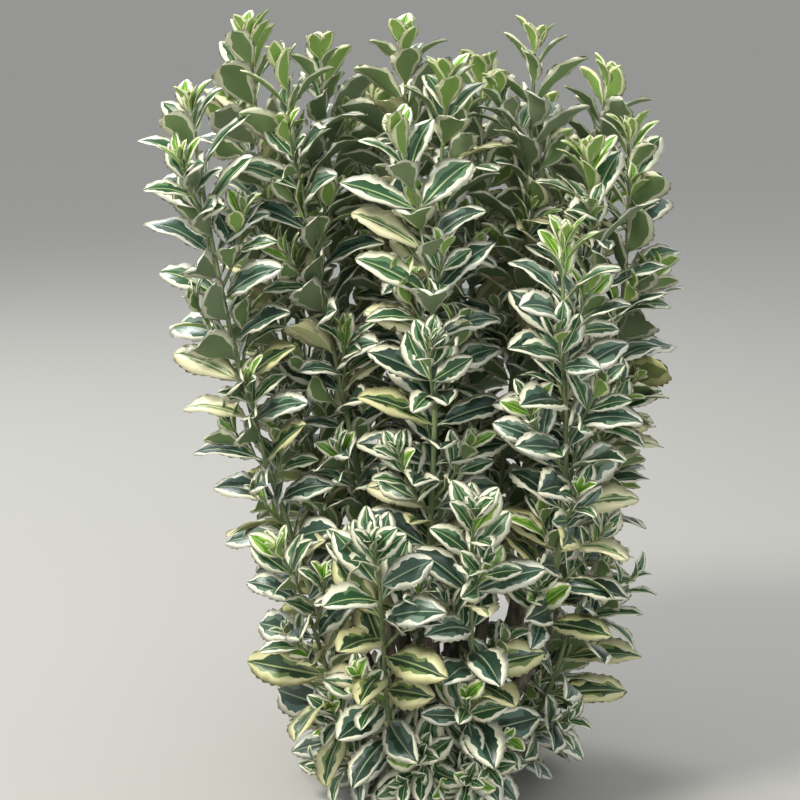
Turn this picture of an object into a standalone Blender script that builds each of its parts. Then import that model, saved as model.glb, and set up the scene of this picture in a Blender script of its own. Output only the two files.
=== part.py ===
# White spire japanese spindle: an upright evergreen shrub with many leafy spires from one root.
# Metres, +Z up. The origin is the middle of the flat cut at ground level, and -Y is the front.

import math
import random

import bmesh
import bpy
from mathutils import Matrix, Vector
from mathutils.bvhtree import BVHTree
from mathutils.geometry import interpolate_bezier
from mathutils.kdtree import KDTree

# Driving dimensions
PLANT = "white_spire_spindle"
CLEARANCE = 0.0003  # between pieces that meet
SEED = 23

CROWN_HEIGHT = 0.036  # woody stool that all stems rise from
CROWN_RADIUS = 0.026
FLARE_RADIUS = 0.037  # root flare at the ground
FLARE_LOBES = 5
LOBE_DEPTH = 0.07

BOUGH_BASE_RADIUS = 0.0050
FORK_TIP_RADIUS = 0.0058  # a bough that carries two spires
SINGLE_TIP_RADIUS = 0.0038
FORK_HALF_SPACING = 0.0028
STUB_LENGTH = 0.010

STEM_BASE_RADIUS = 0.0025
STEM_TIP_RADIUS = 0.0012
TWIG_BASE_RADIUS = 0.0013
TWIG_TIP_RADIUS = 0.0009
SHOOT_BASE_RADIUS = 0.0021
BOUGH_SIDES = 6
STEM_SIDES = 3
CURVE_EASE = 0.38  # how far a limb keeps its first and last direction, as a share of its length
STUB_TOP = 0.96  # height of a bough's foot on the crown's middle, of the crown's height
STUB_DROP = 0.34  # how much lower it is at the crown's rim
BOUGH_SPREAD = 0.75  # outward run of a bough at the rim, for each unit of rise
BOUGH_STUB_SWELL = 1.15
SHOOT_STUB_SWELL = 1.6
SHOOT_RING = 0.9  # where a low shoot leaves the crown's flank, of its radius and its height
SHOOT_HEIGHT = 0.34
SHOOT_RISE = 0.55
SHOOT_SPREAD = 1.2

LEAF_LENGTH = 0.058
LEAF_WIDTH = 0.030
LEAF_THICKNESS = 0.0016
LEAF_WAIST = 0.56  # where a leaf is widest, from its root
LEAF_FOLD = math.radians(17)
LEAF_ARCH = 0.10  # how far the tip bends back, of its length
ROOT_DEPTH = 0.0012  # how far past the stem's axis a leaf is sunk
NECK = 0.22  # share of a leaf's lower half that may cross its twin's in the stem

PAIR_SPACING = 0.0330
TOP_SPACING = 0.0180
LEAFLESS_FOOT = 0.022
YOUNG_LENGTH = 0.055  # top of a shoot where the leaves are not full grown
YOUNG_SIZE = 0.56
FOOT_SHRINK = 0.16  # how much smaller the oldest leaves are
FOOT_SHARE = 0.4  # part of a stem, from its foot, where they get smaller
YOUNG_LEAN = 24  # degrees from the stem
OPENED_LEAN = 20  # added where the leaves are full grown
SPIRE_DROOP = 34  # added at the foot of a spire
SHOOT_DROOP = 52  # added at the foot of a low shoot
PAIR_SWING = 14
LEAN_SPREAD = 7
ROLL_SPREAD = 10
SIZE_SPREAD = 0.08
LOWEST_LEAF = 0.0015  # nothing of a leaf comes lower
SPACE_MARGIN = 0.0008  # a leaf keeps this much nearer to its own stem than to another
AXIS_STEP = 0.003
TWIG_TURN = math.radians(137.5)

# What a leaf tries in turn where its space is narrow: swing round the stem, lift, share of size.
LEAF_TRIES = (
    (0, 0, 1),
    (0.45, 0, 1),
    (-0.45, 0, 1),
    (0, 0.22, 0.9),
    (0.8, 0.1, 0.9),
    (-0.8, 0.1, 0.9),
    (0, 0.4, 0.75),
)

# Boughs: place on the crown as ring radius and turn, then tip, then the spires carried.
# A spire has its tip, and its lean there as sideways run for each unit of rise.
BOUGHS = {
    "bough_centre": {
        "ring": 0.001,
        "turn": 90,
        "tip": (-0.006, 0.014, 0.140),
        "spires": {
            "spire_centre": ((-0.020, 0.040, 0.470), (-0.02, 0.02)),
            "spire_centre_right": ((0.005, 0.000, 0.448), (0.04, -0.02)),
        },
    },
    "bough_front": {
        "ring": 0.014,
        "turn": -110,
        "tip": (-0.005, -0.044, 0.112),
        "spires": {"spire_front": ((-0.022, -0.060, 0.420), (-0.30, 0.0))},
    },
    "bough_left_front": {
        "ring": 0.014,
        "turn": 200,
        "tip": (-0.037, -0.010, 0.140),
        "spires": {"spire_left_front": ((-0.093, 0.000, 0.456), (-0.12, 0.02))},
    },
    "bough_left": {
        "ring": 0.025,
        "turn": 192,
        "tip": (-0.076, -0.018, 0.124),
        "spires": {"spire_left": ((-0.149, -0.020, 0.434), (-0.12, 0.0))},
    },
    "bough_left_back": {
        "ring": 0.025,
        "turn": 146,
        "tip": (-0.062, 0.040, 0.118),
        "spires": {
            "spire_left_back": ((-0.118, 0.058, 0.472), (-0.06, 0.0)),
            "spire_back_far_left": ((-0.100, 0.112, 0.395), (-0.08, 0.08)),
        },
    },
    "bough_back_left": {
        "ring": 0.017,
        "turn": 118,
        "tip": (-0.030, 0.056, 0.130),
        "spires": {
            "spire_back_left": ((-0.074, 0.084, 0.460), (-0.06, 0.04)),
            "spire_back_low_left": ((-0.038, 0.128, 0.425), (-0.02, 0.10)),
        },
    },
    "bough_back": {
        "ring": 0.024,
        "turn": 76,
        "tip": (0.014, 0.062, 0.122),
        "spires": {
            "spire_back_right": ((0.030, 0.078, 0.448), (0.02, 0.0)),
            "spire_back_low_right": ((0.016, 0.134, 0.412), (0.0, 0.10)),
        },
    },
    "bough_right_back": {
        "ring": 0.025,
        "turn": 40,
        "tip": (0.058, 0.048, 0.116),
        "spires": {
            "spire_right_back": ((0.110, 0.070, 0.442), (0.12, 0.04)),
            "spire_back_far_right": ((0.070, 0.120, 0.418), (0.02, 0.08)),
        },
    },
    "bough_right_centre": {
        "ring": 0.013,
        "turn": 15,
        "tip": (0.035, 0.012, 0.138),
        "spires": {"spire_right_centre": ((0.061, 0.030, 0.468), (0.02, 0.0))},
    },
    "bough_right": {
        "ring": 0.026,
        "turn": 2,
        "tip": (0.074, 0.006, 0.112),
        "spires": {
            "spire_right": ((0.121, 0.030, 0.412), (-0.04, 0.0)),
            "spire_right_low": ((0.092, -0.014, 0.402), (-0.12, 0.0)),
        },
    },
    "bough_right_front": {
        "ring": 0.025,
        "turn": -42,
        "tip": (0.061, -0.050, 0.106),
        "spires": {"spire_right_front": ((0.072, -0.090, 0.360), (0.0, 0.02))},
    },
}

# Low leafy shoots from the flank of the crown: turn of the foot round it, then the tip.
LOW_SHOOTS = {
    "shoot_front_left": (222, (-0.093, -0.080, 0.172)),
    "shoot_front_centre": (247, (-0.038, -0.126, 0.190)),
    "shoot_front_right": (287, (0.020, -0.118, 0.206)),
    "shoot_side_right": (-22, (0.100, -0.044, 0.155)),
    "shoot_ground_left": (205, (-0.058, -0.040, 0.050)),
    "shoot_ground_front": (266, (-0.010, -0.082, 0.048)),
    "shoot_ground_right": (309, (0.024, -0.068, 0.044)),
    "shoot_side_low_right": (18, (0.080, 0.018, 0.076)),
    "shoot_back_left": (128, (-0.080, 0.096, 0.150)),
    "shoot_back_centre": (96, (-0.008, 0.130, 0.165)),
    "shoot_back_right": (52, (0.078, 0.100, 0.150)),
    "shoot_ground_back_left": (163, (-0.058, 0.030, 0.050)),
    "shoot_ground_back": (78, (0.022, 0.084, 0.046)),
}

UP = Vector((0, 0, 1))


def clear_scene():
    for obj in list(bpy.data.objects):
        bpy.data.objects.remove(obj, do_unlink=True)


def make_material(name, colour, roughness):
    material = bpy.data.materials.new(name)
    material.use_nodes = True
    shader = material.node_tree.nodes["Principled BSDF"]
    shader.inputs["Base Color"].default_value = (*colour, 1)
    shader.inputs["Roughness"].default_value = roughness
    shader.inputs["Metallic"].default_value = 0
    return material


def ring_point(radius, turn, height):
    """A place round the crown's axis."""
    angle = math.radians(turn)
    return Vector((radius * math.cos(angle), radius * math.sin(angle), height))


def curve_points(start, start_way, end, end_way, count):
    """Points of one smooth curve that leaves along start_way and arrives along end_way."""
    reach = CURVE_EASE * (end - start).length
    return interpolate_bezier(start, start + start_way * reach, end - end_way * reach, end, count)


def ring_curve(radius, sides):
    """A closed outline with this many sides, as the cross section of a limb."""
    curve = bpy.data.curves.new("outline", "CURVE")
    curve.dimensions = "2D"
    spline = curve.splines.new("POLY")
    spline.points.add(sides - 1)
    spline.use_cyclic_u = True
    for number, spot in enumerate(spline.points):
        angle = 2 * math.pi * number / sides
        spot.co = (radius * math.cos(angle), radius * math.sin(angle), 0, 1)
    obj = bpy.data.objects.new("outline", curve)
    bpy.context.scene.collection.objects.link(obj)
    return obj


def tube_mesh(name, points, first_radius, last_radius, sides):
    """A tapering limb round these points, closed at both ends."""
    outline = ring_curve(first_radius, sides)
    curve = bpy.data.curves.new(name, "CURVE")
    curve.dimensions = "3D"
    curve.bevel_mode = "OBJECT"
    curve.bevel_object = outline
    curve.use_fill_caps = True
    spline = curve.splines.new("POLY")
    spline.points.add(len(points) - 1)
    for number, (spot, point) in enumerate(zip(spline.points, points)):
        spot.co = (*point, 1)
        along = number / (len(points) - 1)
        spot.radius = 1 + (last_radius / first_radius - 1) * along
    obj = bpy.data.objects.new(name, curve)
    bpy.context.scene.collection.objects.link(obj)
    graph = bpy.context.evaluated_depsgraph_get()
    mesh = bpy.data.meshes.new_from_object(obj.evaluated_get(graph))
    bpy.data.objects.remove(obj)
    bpy.data.objects.remove(outline)
    weld = bmesh.new()
    weld.from_mesh(mesh)
    bmesh.ops.remove_doubles(weld, verts=weld.verts, dist=1e-6)
    bmesh.ops.recalc_face_normals(weld, faces=weld.faces)
    weld.to_mesh(mesh)
    weld.free()
    return mesh


def leaf_mesh(length, width):
    """A folded, arching leaf along +Y, its upper face to +Z: eight faces from root to tip."""
    leaf = bmesh.new()
    waist = LEAF_WAIST * length
    lift = width / 2 * math.tan(LEAF_FOLD)
    root = leaf.verts.new((0, -ROOT_DEPTH, 0))
    left = leaf.verts.new((-width / 2, waist, lift))
    right = leaf.verts.new((width / 2, waist, lift))
    rib_top = leaf.verts.new((0, waist, LEAF_THICKNESS / 2))
    rib_under = leaf.verts.new((0, waist, -LEAF_THICKNESS / 2))
    tip = leaf.verts.new((0, length, -LEAF_ARCH * length))
    for end in (root, tip):
        for near, far in ((left, rib_top), (rib_top, right), (right, rib_under), (rib_under, left)):
            leaf.faces.new((end, near, far))
    bmesh.ops.recalc_face_normals(leaf, faces=leaf.faces)
    mesh = bpy.data.meshes.new("leaf")
    leaf.to_mesh(mesh)
    leaf.free()
    return mesh


def leaf_place(foot, way, outward, angle, roll):
    """The matrix that sets a leaf on its stem, its upper face towards the stem's tip."""
    along = (way * math.cos(angle) + outward * math.sin(angle)).normalized()
    face = (way - along * way.dot(along)).normalized()
    face = Matrix.Rotation(roll, 3, along) @ face
    across = along.cross(face)
    turned = Matrix((across, along, face)).transposed().to_4x4()
    return Matrix.Translation(foot) @ turned


def tree_of(mesh, place=None):
    """A search tree of a mesh, which may be placed."""
    place = place or Matrix()
    points = [place @ vert.co for vert in mesh.vertices]
    return BVHTree.FromPolygons(points, [list(face.vertices) for face in mesh.polygons])


def blade_of(mesh, place):
    """A search tree of a placed leaf, a little swollen and without the root that is in its stem."""
    swell = Matrix.Diagonal((1.08, 1, 1.2, 1))
    points = [place @ swell @ vert.co for vert in mesh.vertices]
    points[0] = points[0].lerp((points[1] + points[2]) / 2, NECK)
    return BVHTree.FromPolygons(points, [list(face.vertices) for face in mesh.polygons])


class Garden:
    """What each piece may grow into: axes that claim space, and surfaces already made."""

    def __init__(self, axes):
        self.owners = []
        spots = []
        for owner, points in axes.items():
            for near, far in zip(points, points[1:]):
                steps = max(2, int((far - near).length / AXIS_STEP))
                spots += [near.lerp(far, step / steps) for step in range(steps)]
                self.owners += [owner] * steps
            spots.append(points[-1])
            self.owners.append(owner)
        self.tree = KDTree(len(spots))
        for number, spot in enumerate(spots):
            self.tree.insert(spot, number)
        self.tree.balance()
        self.made = {}

    def keeps_own_space(self, owner, spot):
        own = self.tree.find(spot, filter=lambda number: self.owners[number] == owner)[2]
        other = self.tree.find(spot, filter=lambda number: self.owners[number] != owner)[2]
        return own + SPACE_MARGIN < other

    def accepts(self, owner, mesh, place):
        """Whether a placed leaf stays in its owner's space and touches nothing of the others."""
        root, left, right, rib, _, tip = [place @ vert.co for vert in mesh.vertices]
        edges = [side.lerp(end, 0.5) for side in (left, right) for end in (root, tip)]
        for spot in [left, right, rib, tip] + edges:
            if spot.z < LOWEST_LEAF or not self.keeps_own_space(owner, spot):
                return False
        blade = blade_of(mesh, place)
        return not any(tree.overlap(blade) for name, tree in self.made.items() if name != owner)


def mesh_object(name, mesh, collection):
    obj = bpy.data.objects.new(name, mesh)
    collection.objects.link(obj)
    return obj


def keep_largest_body(mesh):
    """Fills sealed hollows and drops loose scraps: only the outer skin of the main body stays."""
    body = bmesh.new()
    body.from_mesh(mesh)
    bmesh.ops.triangulate(body, faces=body.faces)
    left = set(body.faces)
    groups = []
    while left:
        waiting = [left.pop()]
        group = []
        while waiting:
            face = waiting.pop()
            group.append(face)
            for edge in face.edges:
                for other in edge.link_faces:
                    if other in left:
                        left.remove(other)
                        waiting.append(other)
        groups.append(group)
    groups.sort(key=len)
    for group in groups[:-1]:
        bmesh.ops.delete(body, geom=group, context="FACES")
    body.verts.ensure_lookup_table()
    loose = [vert for vert in body.verts if not vert.link_faces]
    bmesh.ops.delete(body, geom=loose, context="VERTS")
    closed = all(edge.is_manifold for edge in body.edges)
    body.to_mesh(mesh)
    body.free()
    return closed


def fuse(obj, additions, solver="EXACT"):
    """Joins the object and every piece of the collection into one closed body."""
    joint = obj.modifiers.new("fuse", "BOOLEAN")
    joint.operation = "UNION"
    joint.operand_type = "COLLECTION"
    joint.collection = additions
    joint.solver = solver
    graph = bpy.context.evaluated_depsgraph_get()
    mesh = bpy.data.meshes.new_from_object(obj.evaluated_get(graph))
    obj.modifiers.remove(joint)
    closed = keep_largest_body(mesh)
    return mesh, closed


def fuse_all(obj, pieces):
    """One union, tried with both solvers and then with fewer and fewer leaves."""
    additions = bpy.data.collections.new("additions")
    bpy.context.scene.collection.children.link(additions)
    for mesh, place in pieces:
        piece = mesh_object("addition", mesh, additions)
        piece.matrix_world = place
    while True:
        for solver in ("EXACT", "MANIFOLD"):
            mesh, closed = fuse(obj, additions, solver)
            if closed:
                break
        if closed or not additions.objects:
            break
        for piece in list(additions.objects)[::7]:
            bpy.data.objects.remove(piece)
    for piece in list(additions.objects):
        bpy.data.objects.remove(piece)
    bpy.data.collections.remove(additions)
    obj.data = mesh


def finish(obj, material):
    obj.data.materials.clear()
    obj.data.materials.append(material)
    obj.data.shade_smooth()
    obj.data.set_sharp_from_angle(angle=math.radians(30))


def side_of(way, turn):
    """A unit vector square to a stem, turned round it."""
    side = way.cross(Vector((0, 1, 0))).normalized()
    return Matrix.Rotation(turn, 3, way) @ side


def point_along(points, distance):
    """The place and direction at this distance along a path."""
    for near, far in zip(points, points[1:]):
        length = (far - near).length
        if distance <= length:
            return near.lerp(far, distance / length), (far - near).normalized()
        distance -= length
    return points[-1].copy(), (points[-1] - points[-2]).normalized()


def path_length(points):
    return sum((far - near).length for near, far in zip(points, points[1:]))


def leaf_angle(from_tip, total, low):
    """Young leaves stand up along the shoot, and older ones spread and then hang level."""
    age = min(1, from_tip / total)
    opened = min(1, from_tip / YOUNG_LENGTH)
    droop = SHOOT_DROOP if low else SPIRE_DROOP
    return math.radians(YOUNG_LEAN + OPENED_LEAN * opened + droop * age)


def leaf_size(from_tip, total):
    grown = YOUNG_SIZE + (1 - YOUNG_SIZE) * min(1, from_tip / YOUNG_LENGTH)
    aged = max(0, from_tip / total - (1 - FOOT_SHARE)) / FOOT_SHARE
    return grown * (1 - FOOT_SHRINK * aged)


class Shoot:
    """One leafy stem with its side twigs: a seeded rule deals out twigs and pairs of leaves."""

    def __init__(self, name, points, base_radius, garden, low):
        self.name = name
        self.points = points
        self.base_radius = base_radius
        self.garden = garden
        self.low = low
        self.chance = random.Random(f"{name}{SEED}")
        self.pieces = []
        self.leaves = []

    def add_leaf(self, foot, way, turn, angle, size):
        """Sets one leaf, steeper or shorter where its space is narrow, or leaves it out."""
        roll = math.radians(self.chance.uniform(-ROLL_SPREAD, ROLL_SPREAD))
        jitter = self.chance.uniform(1 - SIZE_SPREAD, 1 + SIZE_SPREAD)
        for swing, lift, share in LEAF_TRIES:
            length = LEAF_LENGTH * size * jitter * share
            mesh = leaf_mesh(length, LEAF_WIDTH * size * share)
            place = leaf_place(foot, way, side_of(way, turn + swing), angle - lift, roll)
            blade = blade_of(mesh, place)
            crossed = any(leaf.overlap(blade) for leaf in self.leaves)
            if not crossed and self.garden.accepts(self.name, mesh, place):
                self.pieces.append((mesh, place))
                self.leaves.append(blade)
                return
            bpy.data.meshes.remove(mesh)

    def add_pairs(self, points, foot, total, scale=1.0):
        """Crossed pairs of leaves up a stem, closer together towards its tip, then a rosette."""
        length = path_length(points)
        distance = foot
        turn = self.chance.uniform(0, math.pi)
        while distance < length - 0.006:
            spot, way = point_along(points, distance)
            from_tip = length - distance
            for half in (0, math.pi):
                swing = math.radians(self.chance.uniform(-PAIR_SWING, PAIR_SWING))
                angle = leaf_angle(from_tip, total, self.low)
                angle += math.radians(self.chance.uniform(-LEAN_SPREAD, LEAN_SPREAD))
                self.add_leaf(spot, way, turn + half + swing, angle, scale * leaf_size(from_tip, total))
            turn += math.pi / 2
            opened = min(1, from_tip / YOUNG_LENGTH)
            distance += TOP_SPACING + (PAIR_SPACING - TOP_SPACING) * opened
        spot, way = point_along(points, length - 0.003)
        for quarter in range(4):
            size = 0.5 if quarter % 2 else 0.56
            lean = math.radians(20 if quarter % 2 else 27)
            self.add_leaf(spot, way, turn + quarter * math.pi / 2, lean, scale * size)

    def add_twig(self, share, turn, length):
        """A short side twig that leaves the stem steeply and bends up beside it."""
        foot, way = point_along(self.points, share * path_length(self.points))
        side = side_of(way, turn)
        start_way = (way * 0.75 + side * 0.66).normalized()
        end_way = (way * 0.95 + side * 0.3).normalized()
        end = foot + (start_way + end_way).normalized() * length
        points = curve_points(foot, start_way, end, end_way, 3)
        for point in points[1:]:
            if not self.garden.keeps_own_space(self.name, point + side * 0.004):
                return
        mesh = tube_mesh("twig", points, TWIG_BASE_RADIUS, TWIG_TIP_RADIUS, STEM_SIDES)
        body = tree_of(mesh)
        if any(tree.overlap(body) for name, tree in self.garden.made.items() if name != self.name):
            return
        self.pieces.append((mesh, Matrix()))
        self.add_pairs(points, 0.42 * length, length * 2.2, 0.8)

    def grow(self, collection, material, twigs):
        self.add_pairs(self.points, LEAFLESS_FOOT, path_length(self.points))
        turn = self.chance.uniform(0, 2 * math.pi)
        for number in range(twigs):
            share = 0.34 + 0.42 * (number + self.chance.uniform(0, 0.6)) / max(1, twigs)
            self.add_twig(share, turn, self.chance.uniform(0.030, 0.044))
            turn += TWIG_TURN
        tip_radius = STEM_TIP_RADIUS
        stem = tube_mesh(self.name, self.points, self.base_radius, tip_radius, STEM_SIDES)
        obj = mesh_object(self.name, stem, collection)
        fuse_all(obj, self.pieces)
        finish(obj, material)
        self.garden.made[self.name] = tree_of(obj.data)


def crown_profile(height):
    """Radius of the root crown at a height: a flare at the ground, then a rounded shoulder."""
    rise = height / CROWN_HEIGHT
    flare = (FLARE_RADIUS - CROWN_RADIUS) * (1 - rise) ** 3
    shoulder = math.sqrt(max(0, 1 - max(0, (rise - 0.55) / 0.45) ** 2))
    return flare + CROWN_RADIUS * shoulder


def crown_body():
    """The stool: a turned profile with shallow lobes where the main roots leave it."""
    levels = [CROWN_HEIGHT * share for share in (0, 0.16, 0.36, 0.6, 0.8, 0.93)]
    profile = bmesh.new()
    corners = [profile.verts.new((0, 0, CROWN_HEIGHT))]
    corners += [profile.verts.new((crown_profile(level), 0, level)) for level in reversed(levels)]
    corners.append(profile.verts.new((0, 0, 0)))
    for near, far in zip(corners, corners[1:]):
        profile.edges.new((near, far))
    mesh = bpy.data.meshes.new("crown_profile")
    profile.to_mesh(mesh)
    profile.free()
    obj = mesh_object("crown_profile", mesh, bpy.context.scene.collection)
    turn = obj.modifiers.new("turn", "SCREW")
    turn.steps = turn.render_steps = 20
    turn.use_merge_vertices = True
    turn.merge_threshold = 1e-5
    graph = bpy.context.evaluated_depsgraph_get()
    body = bpy.data.meshes.new_from_object(obj.evaluated_get(graph))
    bpy.data.objects.remove(obj)
    for vert in body.vertices:
        angle = math.atan2(vert.co.y, vert.co.x)
        fade = 1 - vert.co.z / CROWN_HEIGHT
        stretch = 1 + LOBE_DEPTH * fade * math.sin(FLARE_LOBES * angle + 0.6)
        vert.co.x *= stretch
        vert.co.y *= stretch
    weld = bmesh.new()
    weld.from_mesh(body)
    bmesh.ops.remove_doubles(weld, verts=weld.verts, dist=1e-6)
    bmesh.ops.recalc_face_normals(weld, faces=weld.faces)
    weld.to_mesh(body)
    weld.free()
    return body


def bough_start(bough):
    """Where a bough's stub leaves the crown, and its direction there."""
    tip = Vector(bough["tip"])
    outward = bough["ring"] / CROWN_RADIUS
    height = CROWN_HEIGHT * (STUB_TOP - STUB_DROP * outward**2)
    foot = ring_point(bough["ring"], bough["turn"], height)
    way = (UP + BOUGH_SPREAD * outward * Vector((tip.x, tip.y, 0)).normalized()).normalized()
    return foot, way


def bough_path(bough):
    foot, way = bough_start(bough)
    start = foot + way * (STUB_LENGTH + CLEARANCE)
    tip = Vector(bough["tip"])
    goal = sum((Vector(spire[0]) for spire in bough["spires"].values()), Vector())
    goal /= len(bough["spires"])
    end_way = ((goal - tip).normalized() + 0.5 * (tip - start).normalized()).normalized()
    return curve_points(start, way, tip, end_way, 6)


def spire_path(bough, points, name):
    """A spire's stem: it starts on the bough's end face, beside its twin where there are two."""
    way = (points[-1] - points[-2]).normalized()
    tip, lean = bough["spires"][name]
    tip = Vector(tip)
    start = points[-1] + way * CLEARANCE
    if len(bough["spires"]) > 1:
        other = next(Vector(spire[0]) for twin, spire in bough["spires"].items() if twin != name)
        side = tip - other
        side = (side - way * side.dot(way)).normalized()
        start = start + side * FORK_HALF_SPACING
    bend = start + way * 0.004
    end_way = Vector((*lean, 1)).normalized()
    return [start] + curve_points(bend, way, tip, end_way, 8)


def shoot_start(turn):
    foot = ring_point(CROWN_RADIUS * SHOOT_RING, turn, CROWN_HEIGHT * SHOOT_HEIGHT)
    way = (ring_point(1, turn, 0) + UP * SHOOT_RISE).normalized()
    return foot, way


def shoot_path(turn, tip):
    foot, way = shoot_start(turn)
    tip = Vector(tip)
    start = foot + way * (STUB_LENGTH + CLEARANCE)
    run = Vector((tip.x - start.x, tip.y - start.y, 0))
    end_way = (run * SHOOT_SPREAD / max(tip.z, run.length) + UP).normalized()
    return [start] + curve_points(start + way * 0.003, way, tip, end_way, 5)


def make_crown(collection, material):
    crown = mesh_object("root_crown", crown_body(), collection)
    stubs = []
    for bough in BOUGHS.values():
        foot, way = bough_start(bough)
        points = [foot - way * 0.009, foot + way * STUB_LENGTH]
        base_radius = BOUGH_BASE_RADIUS * BOUGH_STUB_SWELL
        mesh = tube_mesh("stub", points, base_radius, BOUGH_BASE_RADIUS, BOUGH_SIDES)
        stubs.append((mesh, Matrix()))
    for turn, _ in LOW_SHOOTS.values():
        foot, way = shoot_start(turn)
        points = [foot - way * 0.008, foot + way * STUB_LENGTH]
        base_radius = SHOOT_BASE_RADIUS * SHOOT_STUB_SWELL
        mesh = tube_mesh("stub", points, base_radius, SHOOT_BASE_RADIUS, STEM_SIDES)
        stubs.append((mesh, Matrix()))
    fuse_all(crown, stubs)
    finish(crown, material)
    return crown


def main():
    clear_scene()
    plant = bpy.data.collections.new(PLANT)
    bpy.context.scene.collection.children.link(plant)
    bark = make_material("bark", (0.20, 0.17, 0.13), 0.9)
    foliage = make_material("variegated_foliage", (0.42, 0.50, 0.36), 0.5)

    limbs = {name: bough_path(bough) for name, bough in BOUGHS.items()}
    stems = {}
    for name, bough in BOUGHS.items():
        for spire in bough["spires"]:
            stems[spire] = spire_path(bough, limbs[name], spire)
    shoots = {name: shoot_path(*shoot) for name, shoot in LOW_SHOOTS.items()}

    garden = Garden(stems | shoots)
    crown = make_crown(plant, bark)
    garden.made["root_crown"] = tree_of(crown.data)
    for name, points in limbs.items():
        forked = len(BOUGHS[name]["spires"]) > 1
        tip_radius = FORK_TIP_RADIUS if forked else SINGLE_TIP_RADIUS
        mesh = tube_mesh(name, points, BOUGH_BASE_RADIUS, tip_radius, BOUGH_SIDES)
        limb = mesh_object(name, mesh, plant)
        finish(limb, bark)
        garden.made[name] = tree_of(mesh)
    for name, points in (stems | shoots).items():
        low = name in shoots
        radius = SHOOT_BASE_RADIUS if low else STEM_BASE_RADIUS
        stem = tube_mesh("stem", points, radius, STEM_TIP_RADIUS, STEM_SIDES)
        garden.made[name] = tree_of(stem)
        bpy.data.meshes.remove(stem)
    for name, points in (stems | shoots).items():
        low = name in shoots
        radius = SHOOT_BASE_RADIUS if low else STEM_BASE_RADIUS
        Shoot(name, points, radius, garden, low).grow(plant, foliage, 0 if low else 1)


main()
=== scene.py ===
# White spire japanese spindle: leaves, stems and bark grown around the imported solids.
# Metres, +Z up, the front is -Y.
import math
import random
import time

import bmesh
import bpy
from mathutils import Matrix, Vector
from mathutils.geometry import interpolate_bezier
from mathutils.kdtree import KDTree


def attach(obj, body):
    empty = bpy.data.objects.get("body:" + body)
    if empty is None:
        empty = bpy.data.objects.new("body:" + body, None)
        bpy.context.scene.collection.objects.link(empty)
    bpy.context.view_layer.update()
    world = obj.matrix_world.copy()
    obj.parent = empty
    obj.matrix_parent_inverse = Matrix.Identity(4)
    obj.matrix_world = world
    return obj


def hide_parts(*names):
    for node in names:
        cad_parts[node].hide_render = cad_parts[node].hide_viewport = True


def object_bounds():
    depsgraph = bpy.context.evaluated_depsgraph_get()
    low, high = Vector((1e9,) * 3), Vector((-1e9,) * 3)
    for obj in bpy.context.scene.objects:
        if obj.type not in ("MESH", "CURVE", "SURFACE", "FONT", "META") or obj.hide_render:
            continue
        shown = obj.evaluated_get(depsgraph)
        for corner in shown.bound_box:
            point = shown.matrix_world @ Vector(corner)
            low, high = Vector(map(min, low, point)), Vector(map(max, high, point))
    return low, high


began = time.time()
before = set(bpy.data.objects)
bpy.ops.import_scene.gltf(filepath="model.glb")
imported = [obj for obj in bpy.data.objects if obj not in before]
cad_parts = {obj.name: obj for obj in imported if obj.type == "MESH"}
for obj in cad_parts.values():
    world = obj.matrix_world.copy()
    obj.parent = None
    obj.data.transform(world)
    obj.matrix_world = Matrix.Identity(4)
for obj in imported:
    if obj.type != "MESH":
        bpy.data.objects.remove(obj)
cadLow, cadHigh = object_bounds()
seed = 23


def report(stage):
    print(f"{stage}: {time.time() - began:.1f} s")


def linear(red, green, blue):
    # a colour given as on a screen, 0 to 255, turned into the shader's own values
    def channel(value):
        value /= 255
        return value / 12.92 if value <= 0.04045 else ((value + 0.055) / 1.055) ** 2.4

    return (channel(red), channel(green), channel(blue), 1)


# Camera, floor and light
cameraLook = {
    "lens": 99.8,
    "distance": 1.4,
    "elevation": 12,  # degrees above the horizon
    "target": (-0.0229, 0, 0.2534),
}
studioLook = {
    "floorRadius": 40,
    "floorColour": (168, 166, 160),
    "skyColour": (232, 236, 240),
    "skyStrength": 0.85,
    # place, size, power in watts, colour
    "lamps": (
        ((-0.9, -0.9, 1.7), 0.5, 34, (255, 251, 244)),
        ((-0.7, 1.2, 1.5), 0.8, 20, (250, 252, 255)),
        ((0.5, -1.9, 0.8), 1.2, 9, (244, 248, 255)),
    ),
}


def makeCamera():
    tilt = math.radians(cameraLook["elevation"])
    back = Vector((0, -math.cos(tilt), math.sin(tilt)))
    data = bpy.data.cameras.new("camera")
    data.lens = cameraLook["lens"]
    camera = bpy.data.objects.new("camera", data)
    camera.location = Vector(cameraLook["target"]) + back * cameraLook["distance"]
    camera.rotation_euler = (-back).to_track_quat("-Z", "Y").to_euler()
    bpy.context.scene.collection.objects.link(camera)
    bpy.context.scene.camera = camera


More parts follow.
